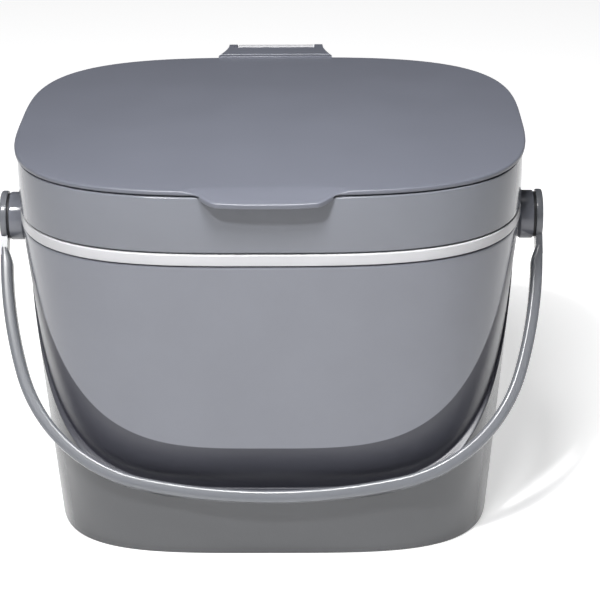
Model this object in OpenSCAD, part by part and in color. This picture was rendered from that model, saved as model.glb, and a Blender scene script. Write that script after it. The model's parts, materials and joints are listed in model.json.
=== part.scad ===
// Countertop compost caddy: tapered bucket, lift-off lid frame, flip lid and swinging bail.
// Millimetres, +Z up, front is -Y. The origin is the middle of the base, on the worktop.

/* [Bucket] */
// Width of the bucket at its base
base_w = 168; // [150:1:186]
// Depth of the bucket at its base
base_d = 135.4; // [122:0.2:150]
// Width of the bucket at its mouth
mouth_w = 187.4; // [175:0.2:205]
// Depth of the bucket at its mouth
mouth_d = 164.8; // [152:0.2:180]
// Height of the bucket wall up to the step below the trim ring
wall_h = 122.8; // [112:0.2:136]
// Thickness of the bucket wall
wall_t = 2.8; // [2.6:0.1:3.4]
// Thickness of the bucket floor
floor_t = 3; // [2.4:0.1:4.5]
// Squareness of the outline at the mouth: 2 is an ellipse, more is boxier
squareness = 3.25; // [2.8:0.05:3.6]
// Squareness of the outline at the base
base_squareness = 3.8; // [3.2:0.05:4]
// Radius where the inside wall meets the floor
inner_fillet = 14; // [6:1:20]
// Height of the foot rim that the bucket stands on
foot_h = 1; // [0.6:0.1:2.5]
// Width of the foot rim
foot_w = 3.4; // [2:0.2:6]

/* [Finger recess] */
// Height of the upper crease at the middle of the front
recess_top_z = 47.5; // [40:0.5:50]
// Lean of the upper crease's plane from vertical
recess_lean = 23.2; // [20:0.2:26]
// Angle of the ledge's edge about the bail pivot, from straight down
ledge_deg = 32.5; // [31:0.1:34]
// Depth of the recess above the ledge, at the middle of the front
recess_depth = 5.6; // [3:0.1:8]
// Height of the ledge's slope, from its edge up to the deepest line
ledge_depth = 2.2; // [1.6:0.1:2.6]

/* [Trim ring] */
// Height of the pale band
ring_h = 4.2; // [3.4:0.1:6]
// How far the band stands proud of the bucket
ring_proud = 0.3; // [0.1:0.05:0.6]
// Thickness of the band's outer leg and of its top web
ring_t = 1.3; // [1.2:0.1:1.4]
// How far the inner leg reaches below the web
ring_leg = 6; // [4:0.5:9]

/* [Lid frame] */
// Height of the frame's outer wall
frame_h = 20.4; // [17:0.2:24]
// Thickness of the frame's outer wall
frame_t = 2.2; // [1.8:0.1:2.6]
// Height of the seam line between frame and ring
seam = 0.6; // [0.4:0.05:0.9]
// Height of the sealing ledge above the bottom of the frame
shelf_z = 11.6; // [10:0.2:13]
// Thickness of the sealing ledge and of the plug wall
plug_t = 2; // [1.6:0.1:2.6]
// How far the plug wall reaches down into the bucket below the ring
plug_depth = 15.6; // [10:0.2:22]

/* [Flip lid] */
// How far the lid stands out past the frame
lid_over = 0.9; // [0.5:0.05:1.3]
// Height of the lid's edge
lid_edge = 1.7; // [1.4:0.1:2.6]
// Rise of the lid's crown over its edge
lid_crown = 1.5; // [0.5:0.1:4]
// Half width of the finger tab where it leaves the lid
tab_root = 26.5; // [24:0.5:32]
// Half width of the finger tab at its front
tab_tip = 17; // [14:0.5:20]
// Reach of the finger tab past the lid's front
tab_reach = 6.3; // [5:0.1:8]
// Drop of the finger tab's front below the lid's edge
tab_drop = 2.2; // [1.6:0.1:2.6]
// Thickness of the lid liner's rim
liner_t = 2; // [1.4:0.1:3]
// Width of the soft lid seal
seal_w = 3.2; // [2.2:0.1:3.6]

/* [Hinge] */
// Distance of the hinge axis behind the lid's back edge
hinge_back = 16.3; // [15:0.1:20]
// Radius of the hinge barrels
barrel_r = 3.7; // [3.3:0.1:4]
// Radius of the hinge pin
hinge_pin_r = 1.5; // [1.2:0.1:1.8]
// Half width of the middle barrel
knuckle_half = 15.7; // [13:0.1:18]
// Width of each outer barrel
arm_w = 3.6; // [3:0.1:5]
// Half width of the hinge housing at the lid's edge
housing_root = 23.5; // [22:0.1:27]
// Thickness of the housing's top plate
housing_t = 1.3; // [1.1:0.1:1.6]

/* [Bail] */
// Height of the bail pivot
pivot_z = 116.2; // [113:0.2:119]
// Distance of the bail pivot in front of the middle
pivot_front = 12.4; // [9:0.2:15]
// Distance from the pivot to the middle of the grip
bail_reach = 107.9; // [107:0.1:113]
// Width of the bail's band, seen from the front
bail_w = 4.4; // [3.8:0.1:4.8]
// Depth of the bail's band, front to back
bail_t = 7.6; // [6.6:0.1:8.4]
// Radius of the bail's two corners
bail_corner_r = 60; // [56:1:64]
// Radius of the bail's two legs
bail_leg_r = 166; // [156:1:176]
// Thickness of the bail's end plates
plate_t = 2.6; // [2.2:0.1:3.2]
// Radius of the bail's end plates
plate_r = 9.6; // [9:0.1:11]
// Radius of the pivot hubs
hub_r = 9.2; // [7.5:0.1:9.6]
// Length of the pivot hubs
hub_len = 5; // [4:0.1:7]
// Thickness of the black pivot washers
washer_t = 0.8; // [0.6:0.1:1.2]
// Radius of the pivot pins
pin_r = 3; // [2.5:0.1:3.6]
// Radius of the pivot pin heads inside the bucket
pin_head_r = 6; // [5:0.1:7]

/* [Fits] */
// Radial clearance of a pin that turns in its bore
run_clear = 0.05; // [0.03:0.01:0.09]
// Radial clearance of a pin that is fixed in its hole
fix_clear = 0.02; // [0.01:0.01:0.05]
// Gap between faces that lie against each other
seat_gap = 0.05; // [0.02:0.01:0.1]
// Gap beside a soft seal or a moving edge
soft_gap = 0.3; // [0.2:0.05:0.4]

/* [Hidden] */

charcoal = "#62666f";
light_charcoal = "#8b8e97";
pale_grey = "#dcdce0";
silver_grey = "#a9abb2";
steel = "#b9bcc0";
soft_black = "#26272a";

columns = 80;
ring_columns = 96;
turn_facets = 48;

// Bucket outline: half sizes at a height, both growing evenly from the base to the mouth.
function half_w(z) = (base_w + (mouth_w - base_w) * z / wall_h) / 2;
function half_d(z) = (base_d + (mouth_d - base_d) * z / wall_h) / 2;
width_slope = (mouth_w - base_w) / wall_h / 2;
depth_slope = (mouth_d - base_d) / wall_h / 2;

// Squareness at a height, evenly from the base to the mouth.
function square_at(z) =
  base_squareness + (squareness - base_squareness) * max(0, min(1, z / wall_h));

// Distance from the middle to a squared oval, at a polar angle.
function oval_r(a, b, phi, n = squareness) =
  pow(pow(abs(cos(phi)) / a, n) + pow(abs(sin(phi)) / b, n), -1 / n);
function oval_point(a, b, phi, n = squareness) =
  [oval_r(a, b, phi, n) * cos(phi), oval_r(a, b, phi, n) * sin(phi)];
function oval(a, b, count) = [for (i = [0 : count - 1]) oval_point(a, b, 360 * i / count)];
// Half width of a squared oval at a distance y from its middle.
function oval_x(a, b, y) = a * pow(1 - pow(abs(y) / b, squareness), 1 / squareness);
// How far forward the wall lies at a height, from 0 at the side to 1 at the front.
function forwardness(phi, z) = sin(phi) >= 0 ? 0
  : -sin(phi) * oval_r(half_w(z), half_d(z), phi, square_at(z)) / half_d(z);

// Finger recess. The edge of its ledge lies in a plane through the bail's pivot, and its
// upper crease in a plane that leans back. Both planes cut the wall, one height for each
// column. Below the crease the wall rolls in, down to the ledge that the bail rests on.
pivot_y = -pivot_front;
ledge_slope = tan(ledge_deg);
crease_slope = tan(recess_lean);
crease_y = half_d(recess_top_z);
function ledge_z(s) =
  (ledge_slope * pivot_z + pivot_front - s * half_d(0)) / (ledge_slope + depth_slope * s);
function crease_z(s) =
  (crease_y + crease_slope * recess_top_z - s * half_d(0)) / (crease_slope + depth_slope * s);
band_min = 4;
recess_limit = wall_h - 2;
// Depth above the ledge: full along the grip, less at the sides, none at the mouth.
function deep(s) = let (left = (recess_limit - ledge_z(s)) / (recess_limit - ledge_z(1)))
  left <= 0 ? 0 : recess_depth * (0.3 + 0.7 * pow(s, 7)) * pow(left, 0.9);
function roll(t) = t * (1.15 - 0.15 * t);
// One column's recess: height of the ledge's edge, of the deepest line and of the crease, depth.
function plan(phi) = let (
  s = forwardness(phi, ledge_z(forwardness(phi, wall_h / 3))),
  depth = deep(s),
  z0 = min(ledge_z(s), recess_limit - 2 * band_min),
  z1 = z0 + 0.4 + (ledge_depth - 0.4) * depth / recess_depth,
  top = crease_z(forwardness(phi, crease_z(s))),
  z2 = max(z0 + band_min, min(top, recess_limit - band_min))
) [z0, z1, z2, depth];
function recess(p, z) = z <= p[0] || z >= p[2] ? 0
  : z <= p[1] ? p[3] * (z - p[0]) / (p[1] - p[0])
  : p[3] * roll((p[2] - z) / (p[2] - p[1]));

// Heights of the rows between the base fillet and the mouth, for one column.
rows_low = 4;
rows_roll = 8;
rows_high = 3;
function rows(p, start) = concat(
  [for (i = [0 : rows_low]) start + (p[0] - start) * i / rows_low],
  [for (i = [0 : rows_roll]) p[1] + (p[2] - p[1]) * i / rows_roll],
  [for (i = [1 : rows_high]) p[2] + (recess_limit - p[2]) * i / rows_high]
);

// One column of the bucket's skin, from the middle of the base, up outside, over the rim
// and down inside. Each entry is [inset from the outline, height].
base_fillet = 0.8;
fillet_rows = 3;
tenon_in = ring_t + 2 * fix_clear + 0.26;
rim_z = wall_h + ring_h - ring_t + seam - 0.1 - seat_gap;
foot_in = base_fillet + foot_w;
floor_top = foot_h + floor_t;
corner_r = min(inner_fillet, ledge_z(1) - floor_top - 1);
function outer_column(p) = concat(
  [[foot_in, foot_h], [foot_in, 0]],
  [for (i = [0 : fillet_rows - 1]) let (a = 90 * i / fillet_rows)
    [base_fillet * (1 - sin(a)), base_fillet * (1 - cos(a))]],
  [for (z = rows(p, base_fillet)) [recess(p, z), z]],
  [[0, wall_h], [tenon_in, wall_h], [tenon_in, rim_z]]
);
function inner_column(p) = concat(
  [[wall_t, rim_z], [wall_t, wall_h]],
  [for (z = reverse(rows(p, floor_top + corner_r))) [wall_t + recess(p, z), z]],
  [for (i = [1 : fillet_rows + 1]) let (a = 90 * i / (fillet_rows + 1))
    [wall_t + corner_r * (1 - cos(a)), floor_top + corner_r * (1 - sin(a))]]
);
function reverse(list) = [for (i = [len(list) - 1 : -1 : 0]) list[i]];
function skin_column(phi) = let (p = plan(phi), steps = concat(outer_column(p), inner_column(p)))
  [for (step = steps) let (z = step[1],
    at = oval_point(half_w(z) - step[0], half_d(z) - step[0], phi, square_at(z)))
    [at[0], at[1], z]];

// Closed skin from a list of columns, with a flat fan at each end.
module skin(cols, end_low, end_high) {
  n = len(cols);
  m = len(cols[0]);
  points = concat([for (c = cols) each c], [end_low, end_high]);
  sides = [for (i = [0 : n - 1], j = [0 : m - 2]) let (k = (i + 1) % n)
    each [[i * m + j, i * m + j + 1, k * m + j + 1], [i * m + j, k * m + j + 1, k * m + j]]];
  low = [for (i = [0 : n - 1]) [n * m, i * m, ((i + 1) % n) * m]];
  high = [for (i = [0 : n - 1]) [n * m + 1, ((i + 1) % n) * m + m - 1, i * m + m - 1]];
  polyhedron(points = points, faces = concat(sides, low, high), convexity = 8);
}

// Upright band that follows the outline: inset from the given half sizes, between two heights.
module band(a, b, out, in, z0, z1) {
  translate([0, 0, z0]) linear_extrude(z1 - z0) difference() {
    polygon(oval(a - out, b - out, ring_columns));
    polygon(oval(a - in, b - in, ring_columns));
  }
}

// Round bar along X, starting at x.
module bar_x(r, x, length) {
  translate([x, 0, 0]) rotate([0, 90, 0]) cylinder(h = length, r = r, $fn = turn_facets);
}

// Trim ring levels and insets, measured from the ring's own outline.
ring_a = mouth_w / 2 + ring_proud;
ring_b = mouth_d / 2 + ring_proud;
ring_low = wall_h + seam - 0.1;
ring_top = ring_low + ring_h;
leg_out = ring_proud + wall_t + 0.5 + ring_leg * depth_slope;
leg_in = leg_out + ring_t;

// Pivot pin heads, flat against the bucket's sloping inside.
pin_head_t = 1.2;
head_low = pivot_z - pin_head_r;
head_front = pivot_front + pin_head_r;
head_dent = wall_t + recess(plan(-atan(head_front / half_w(head_low))), head_low);
pin_head_x = oval_x(half_w(head_low) - head_dent, half_d(head_low) - head_dent, head_front) - seat_gap;

// Lid frame levels, and half sizes of its outline.
frame_a = ring_a + 0.1;
frame_b = ring_b - 0.4;
frame_low = ring_top + seam;
frame_foot = ring_top + seat_gap;
frame_top = ring_top + frame_h + seam;
shelf_top = frame_low + shelf_z + plug_t;
plug_out = max(leg_in + 1.1, frame_a - (pin_head_x - pin_head_t) + soft_gap);
plug_in = plug_out + plug_t;
plug_low = ring_top - plug_depth;

// Flip lid levels.
lid_a = frame_a + lid_over;
lid_b = frame_b - 0.6;
lid_low = frame_top + seam;
lid_top = lid_low + lid_edge;
liner_out = frame_t + 1;
seal_low = shelf_top + soft_gap;
seal_high = seal_low + 1.8;

// Hinge: the axis lies behind the frame, level with the lid's edge.
hinge_y = lid_b + hinge_back;
hinge_z = lid_top + 0.4 - barrel_r;
arm_in = knuckle_half + 0.4;
arm_out = arm_in + arm_w;
housing_low = lid_low + 1.15;
screw_r = 1.2;
screw_head_r = 2.1;
housing_screw_x = 10;
housing_screw_y = lid_b + 4.6;
bracket_screw_x = 9;
bracket_screw_z = frame_low + 6;
frame_back = frame_b;

// Bail: three tangent arcs a side, then a straight leg to the pivot. Its grip reaches at
// least to the edge of the ledge, and it rests on the ledge at the bucket's front corners.
ledge_r = (pivot_z - ledge_z(1)) / cos(ledge_deg);
rest_r = (pivot_z - plan(-45)[0]) / cos(ledge_deg);
grip_r = max(bail_reach, ledge_r - 0.6);
crown_deg = 12;
corner_deg = 73;
hub_face = ring_a + 0.15;
washer_x = hub_face + hub_len;
plate_in = washer_x + washer_t + seat_gap;
plate_out = plate_in + plate_t;
leg_x = plate_out - bail_w / 2;
bail_crown_r = (leg_x - bail_corner_r * (sin(corner_deg) - sin(crown_deg))
  - bail_leg_r * (1 - sin(corner_deg))) / sin(crown_deg);
leg_start = grip_r - bail_crown_r * (1 - cos(crown_deg))
  - bail_corner_r * (cos(crown_deg) - cos(corner_deg)) - bail_leg_r * cos(corner_deg);
bail_rest_deg = ledge_deg + asin((bail_t / 2 + soft_gap + 0.05) / rest_r);
rib_fall = 5;
neck_in = 3;
pin_reach = 1.7;

module bucket() {
  color(charcoal) difference() {
    skin([for (i = [0 : columns - 1]) skin_column(360 * i / columns)],
      [0, 0, foot_h], [0, 0, floor_top]);
    translate([0, pivot_y, pivot_z]) bar_x(pin_r + fix_clear, -mouth_w, 2 * mouth_w);
  }
}

module trim_ring() {
  color(pale_grey) {
    difference() {
      union() {
        band(ring_a, ring_b, 0, ring_t, ring_low, ring_top);
        band(ring_a, ring_b, 0, leg_in, ring_top - ring_t, ring_top);
        band(ring_a, ring_b, leg_out, leg_in, ring_top - ring_t - ring_leg, ring_top);
      }
      translate([0, pivot_y, pivot_z]) bar_x(pin_head_r + soft_gap, -mouth_w, 2 * mouth_w);
    }
  }
}

module lid_frame() {
  color(light_charcoal) difference() {
    union() {
      band(frame_a, frame_b, 0, frame_t, frame_low, frame_top);
      band(frame_a, frame_b, 0.9, frame_t, frame_foot, frame_low);
      band(frame_a, frame_b, frame_t - 0.5, plug_in, shelf_top - plug_t, shelf_top);
      band(frame_a, frame_b, plug_out, plug_in, plug_low, shelf_top);
    }
    for (side = [-1, 1]) {
      translate([side * bracket_screw_x, frame_back, bracket_screw_z]) rotate([90, 0, 0])
        cylinder(h = 4 * frame_t, r = screw_r + fix_clear, center = true, $fn = turn_facets);
    }
  }
}

module frame_seal() {
  low = max(ring_top - ring_leg, pivot_z + pin_head_r) + soft_gap;
  color(soft_black) band(frame_a, frame_b, leg_in + soft_gap, plug_out, low, low + 2.4);
}

// Crowned top skin of the lid, flat below, with a rounded edge.
crown_rows = 5;
function lid_column(phi) = concat(
  [[0, lid_low], [0, lid_top - 0.8], [0.25, lid_top - 0.3], [0.9, lid_top]],
  [for (i = [1 : crown_rows - 1]) let (t = i / crown_rows)
    [0.9 + (lid_b - 0.9) * t, lid_top + lid_crown * sin(90 * t)]]
);
module lid_crown_skin() {
  cols = [for (i = [0 : columns - 1]) let (phi = 360 * i / columns)
    [for (step = lid_column(phi)) let (k = step[0] / lid_b,
      p = oval_point(lid_a * (1 - k), lid_b * (1 - k), phi)) [p[0], p[1], step[1]]]];
  skin(cols, [0, 0, lid_low], [0, 0, lid_top + lid_crown]);
}

// Outline of the finger tab: smooth shoulders into a gently bowed front.
tab_front = lid_b + tab_reach;
tab_back = lid_b - 6;
shoulder_steps = 10;
function ease(t) = t * t * (3 - 2 * t);
shoulder_y = oval_x(lid_b, lid_a, tab_root) - 1;
tab_side = [for (i = [0 : shoulder_steps]) let (t = i / shoulder_steps)
  [tab_root - (tab_root - tab_tip) * t, -shoulder_y - (tab_front - 0.8 - shoulder_y) * ease(t)]];
tab_outline = concat(
  [[tab_root, -tab_back]], tab_side, [[tab_tip * 0.6, -(tab_front - 0.2)], [0, -tab_front]],
  [[-tab_tip * 0.6, -(tab_front - 0.2)]], [for (p = reverse(tab_side)) [-p[0], p[1]]],
  [[-tab_root, -tab_back]]
);
tab_t = 2.1;
tab_low = lid_top - tab_drop - tab_t - 1;
frame_clear = lid_b + 1.4;
tab_profile = [
  [-tab_back, lid_top - 0.1], [-(lid_b - 3.4), lid_top], [-(tab_front - 0.9), lid_top - tab_drop],
  [-tab_front, lid_top - tab_drop - 0.9], [-tab_front + 0.3, lid_top - tab_drop - tab_t],
  [-frame_clear, lid_low - 1.4], [-frame_clear + 0.2, lid_low], [-tab_back, lid_low]
];

module finger_tab() {
  intersection() {
    translate([0, 0, tab_low]) linear_extrude(lid_top + 1 - tab_low) polygon(tab_outline);
    rotate([90, 0, 90]) translate([0, 0, -tab_root - 1]) linear_extrude(2 * tab_root + 2)
      polygon(tab_profile);
  }
}

// Thin tongue at the back of the lid, which the hinge housing is screwed to.
tongue_half = housing_root - 4;
module lid_tongue() {
  difference() {
    translate([-tongue_half, lid_b - 8, lid_low])
      cube([2 * tongue_half, 8 + hinge_back - barrel_r - 1.2, housing_low - lid_low]);
    for (side = [-1, 1]) {
      translate([side * housing_screw_x, housing_screw_y, lid_low - 1])
        cylinder(h = 4, r = screw_r + fix_clear, $fn = turn_facets);
    }
  }
}

module flip_lid() {
  color(charcoal) union() {
    difference() {
      lid_crown_skin();
      translate([-housing_root - 0.1, housing_front - 0.1, housing_low])
        cube([2 * housing_root + 0.2, 20, 10]);
    }
    finger_tab();
    lid_tongue();
  }
}

module lid_liner() {
  color(charcoal) {
    band(frame_a, frame_b, liner_out, liner_out + liner_t, seal_high, lid_low - seat_gap);
    translate([0, 0, lid_low - seat_gap - liner_t]) linear_extrude(liner_t)
      polygon(oval(frame_a - liner_out, frame_b - liner_out, ring_columns));
  }
}

module lid_seal() {
  color(soft_black) band(frame_a, frame_b, liner_out + 0.1, liner_out + 0.1 + seal_w, seal_low, seal_high);
}

// Hinge housing: a shallow cap over the lid's tongue, with a barrel on each side.
housing_front = lid_b - 1.6;
housing_side = [for (i = [0 : 6]) let (t = i / 6)
  [housing_root + (arm_out - housing_root) * sin(90 * t),
   housing_front + 1.6 + (hinge_y - housing_front - 1.6) * t]];
housing_outline = concat(
  [[housing_root, housing_front]], housing_side,
  [[arm_out, hinge_y + 0.1], [-arm_out, hinge_y + 0.1]],
  [for (p = reverse(housing_side)) [-p[0], p[1]]], [[-housing_root, housing_front]]
);
module hinge_housing() {
  color(charcoal) difference() {
    union() {
      translate([0, 0, housing_low + seat_gap]) linear_extrude(housing_t) polygon(housing_outline);
      for (side = [-1, 1]) {
        translate([0, hinge_y, hinge_z])
          bar_x(barrel_r, side > 0 ? arm_in : -arm_out, arm_w);
        translate([side > 0 ? arm_in : -arm_out, hinge_y - barrel_r - 1, hinge_z])
          cube([arm_w, barrel_r + 1, housing_low + seat_gap + housing_t / 2 - hinge_z]);
      }
    }
    translate([-arm_in, hinge_y - barrel_r - 0.6, hinge_z - 10]) cube([2 * arm_in, 20, 20]);
    translate([0, hinge_y, hinge_z])
      bar_x(hinge_pin_r + fix_clear, -arm_in - arm_w + 1, 2 * (arm_in + arm_w - 1));
    for (side = [-1, 1]) {
      translate([side * housing_screw_x, housing_screw_y, housing_low - 1])
        cylinder(h = 1.9, r = screw_r + fix_clear, $fn = turn_facets);
    }
    translate([-housing_root - 1, lid_b + 1.2, housing_low + seat_gap + housing_t - 0.35])
      cube([2 * housing_root + 2, 0.5, 1]);
  }
}

// Pale bracket screwed to the back of the frame, which carries the middle barrel.
bracket_top = lid_low - 0.9;
bracket_low = frame_low + 1.5;
bracket_t = 2.6;
bracket_profile = [
  [frame_back + seat_gap, bracket_low], [frame_back + bracket_t, bracket_low],
  [frame_back + bracket_t + 1, bracket_low + 9.5], [hinge_y + 0.7 * barrel_r, hinge_z - 0.7 * barrel_r],
  [hinge_y, hinge_z + 0.3], [hinge_y - 3, bracket_top], [frame_back + seat_gap, bracket_top]
];
module hinge_bracket() {
  color(pale_grey) difference() {
    union() {
      rotate([90, 0, 90]) translate([0, 0, -knuckle_half]) linear_extrude(2 * knuckle_half)
        polygon(bracket_profile);
      translate([0, hinge_y, hinge_z]) bar_x(barrel_r, -knuckle_half, 2 * knuckle_half);
    }
    translate([0, hinge_y, hinge_z])
      bar_x(hinge_pin_r + run_clear, -knuckle_half - 1, 2 * knuckle_half + 2);
    for (side = [-1, 1]) {
      translate([side * bracket_screw_x, frame_back - 1, bracket_screw_z]) rotate([-90, 0, 0])
        cylinder(h = 1 + bracket_t + 0.4, r = screw_r + fix_clear, $fn = turn_facets);
    }
  }
}

module hinge_pin() {
  color(steel) translate([0, hinge_y, hinge_z])
    bar_x(hinge_pin_r, -arm_in - arm_w + 1.2, 2 * (arm_in + arm_w - 1.2));
}

// Screws under the lid's tongue, up into the housing.
module housing_screws() {
  color(steel) for (side = [-1, 1]) {
    translate([side * housing_screw_x, housing_screw_y, lid_low - seat_gap]) {
      cylinder(h = housing_low - lid_low + 0.8, r = screw_r, $fn = turn_facets);
      translate([0, 0, -0.8]) cylinder(h = 0.8, r = screw_head_r, $fn = turn_facets);
    }
  }
}

// Screws from inside the frame's back wall, into the bracket.
module bracket_screws() {
  inside = frame_back - frame_t - seat_gap;
  color(steel) for (side = [-1, 1]) {
    translate([side * bracket_screw_x, inside, bracket_screw_z]) rotate([-90, 0, 0]) {
      cylinder(h = frame_t + bracket_t + 0.2, r = screw_r, $fn = turn_facets);
      translate([0, 0, -1]) cylinder(h = 1, r = screw_head_r, $fn = turn_facets);
    }
  }
}

// Bail, hanging in the XZ plane: three tangent arcs a side, told apart by their heading,
// which is 0 at the middle of the grip and 90 at the legs.
crown_z = -grip_r + bail_crown_r;
corner_x = (bail_crown_r - bail_corner_r) * sin(crown_deg);
corner_z = crown_z - (bail_crown_r - bail_corner_r) * cos(crown_deg);
leg_cx = corner_x - (bail_leg_r - bail_corner_r) * sin(corner_deg);
leg_cz = corner_z + (bail_leg_r - bail_corner_r) * cos(corner_deg);
function bail_point(h, u) =
  h <= crown_deg ? [(bail_crown_r + u) * sin(h), crown_z - (bail_crown_r + u) * cos(h)]
  : h <= corner_deg ? [corner_x + (bail_corner_r + u) * sin(h), corner_z - (bail_corner_r + u) * cos(h)]
  : [leg_cx + (bail_leg_r + u) * sin(h), leg_cz - (bail_leg_r + u) * cos(h)];
half_headings = concat(
  [for (i = [0 : 9]) 90 - (90 - corner_deg) * i / 10],
  [for (i = [0 : 15]) corner_deg - (corner_deg - crown_deg) * i / 16],
  [for (i = [0 : 5]) crown_deg - crown_deg * i / 6]
);
headings = concat(half_headings, [0], [for (h = reverse(half_headings)) -h]);

// Rounded section of the band, wider front to back. Its inner side starts thin beside the
// end plate and is full below the rib.
band_round = 1.4;
function inner_half(h) = let (fall = -bail_point(abs(h), 0)[1] - leg_start)
  min(bail_w / 2, leg_x - plate_in + (plate_in - leg_x + bail_w / 2) * fall / rib_fall);
function section(h) = let (thin = inner_half(h), r = min(band_round, (thin + bail_w / 2) / 2 - 0.1))
  [for (q = [0 : 3], k = [0 : 3]) let (a = 90 - 90 * q - 30 * k)
    [(q < 2 ? bail_w / 2 - r : r - thin) + r * cos(a),
     (q == 0 || q == 3 ? bail_t / 2 - r : r - bail_t / 2) + r * sin(a)]];
function station(h) = [for (c = section(h)) let (p = bail_point(abs(h), c[0]))
  [h < 0 ? -p[0] : p[0], c[1], p[1]]];
module bail_band() {
  stations = [for (h = headings) station(h)];
  skin([for (i = [0 : len(stations[0]) - 1]) [for (st = stations) st[i]]],
    [leg_x, 0, -leg_start], [-leg_x, 0, -leg_start]);
}

// End of the bail: a flat round plate, and a neck that runs into the band.
module bail_end() {
  bar_x(plate_r, plate_in, plate_t);
  translate([plate_in, 0.6 - bail_t / 2, -leg_start - neck_in])
    cube([plate_t - 0.3, bail_t - 1.2, leg_start + neck_in - plate_r / 2]);
}
module bail_bore() { bar_x(pin_r + run_clear, plate_in - 1, pin_reach + 1.2); }

module bail() {
  color(silver_grey) translate([0, pivot_y, pivot_z]) rotate([-bail_rest_deg, 0, 0]) difference() {
    union() {
      bail_band();
      bail_end();
      mirror([1, 0, 0]) bail_end();
    }
    bail_bore();
    mirror([1, 0, 0]) bail_bore();
  }
}

// Hub between the bucket's side and the bail. Below the trim ring it reaches in to the
// bucket's sloping wall.
side_tilt = atan(width_slope);
module hub() {
  color(charcoal) translate([0, pivot_y, pivot_z]) difference() {
    union() {
      bar_x(hub_r, hub_face, hub_len);
      difference() {
        bar_x(hub_r, hub_face - 3, 4);
        translate([hub_face - 4, -hub_r - 1, ring_low - soft_gap - pivot_z])
          cube([4, 2 * hub_r + 2, hub_r]);
        translate([half_w(pivot_z) + 0.1, 0, 0]) rotate([0, side_tilt, 0])
          translate([-10, -hub_r - 5, -hub_r - 5]) cube([10, 2 * hub_r + 10, 2 * hub_r + 10]);
      }
    }
    bar_x(pin_r + fix_clear, hub_face - 10, hub_len + 20);
  }
}
module pivot_hub_right() { hub(); }
module pivot_hub_left() { mirror([1, 0, 0]) hub(); }

module washer() {
  color(soft_black) translate([0, pivot_y, pivot_z]) difference() {
    bar_x(hub_r - 0.6, washer_x, washer_t);
    bar_x(pin_r + fix_clear, washer_x - 1, washer_t + 2);
  }
}
module pivot_washer_right() { washer(); }
module pivot_washer_left() { mirror([1, 0, 0]) washer(); }

module pivot_pin() {
  color(steel) translate([0, pivot_y, pivot_z]) {
    bar_x(pin_r, pin_head_x - 0.5, plate_in + pin_reach - pin_head_x + 0.5);
    bar_x(pin_head_r, pin_head_x - pin_head_t, pin_head_t);
  }
}
module pivot_pin_right() { pivot_pin(); }
module pivot_pin_left() { mirror([1, 0, 0]) pivot_pin(); }

bucket();
trim_ring();
lid_frame();
frame_seal();
flip_lid();
lid_liner();
lid_seal();
hinge_housing();
hinge_bracket();
hinge_pin();
housing_screws();
bracket_screws();
bail();
pivot_hub_left();
pivot_hub_right();
pivot_washer_left();
pivot_washer_right();
pivot_pin_left();
pivot_pin_right();
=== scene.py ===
# %% [markdown]
# # A countertop compost caddy
# The caddy is a tapered tub with a bail, a lift-off frame and a flip lid. This lesson dresses
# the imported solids: each cell builds one moulded piece as a smooth skin and gives it its plastic.
# The solids could be shown as they are, but their flat facets would show in glossy plastic. So
# each large piece is drawn again by the rules of its mould, with finer steps and soft edges.
# Lengths are in millimetres until a mesh is made, because that is how moulds are drawn.

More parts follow.
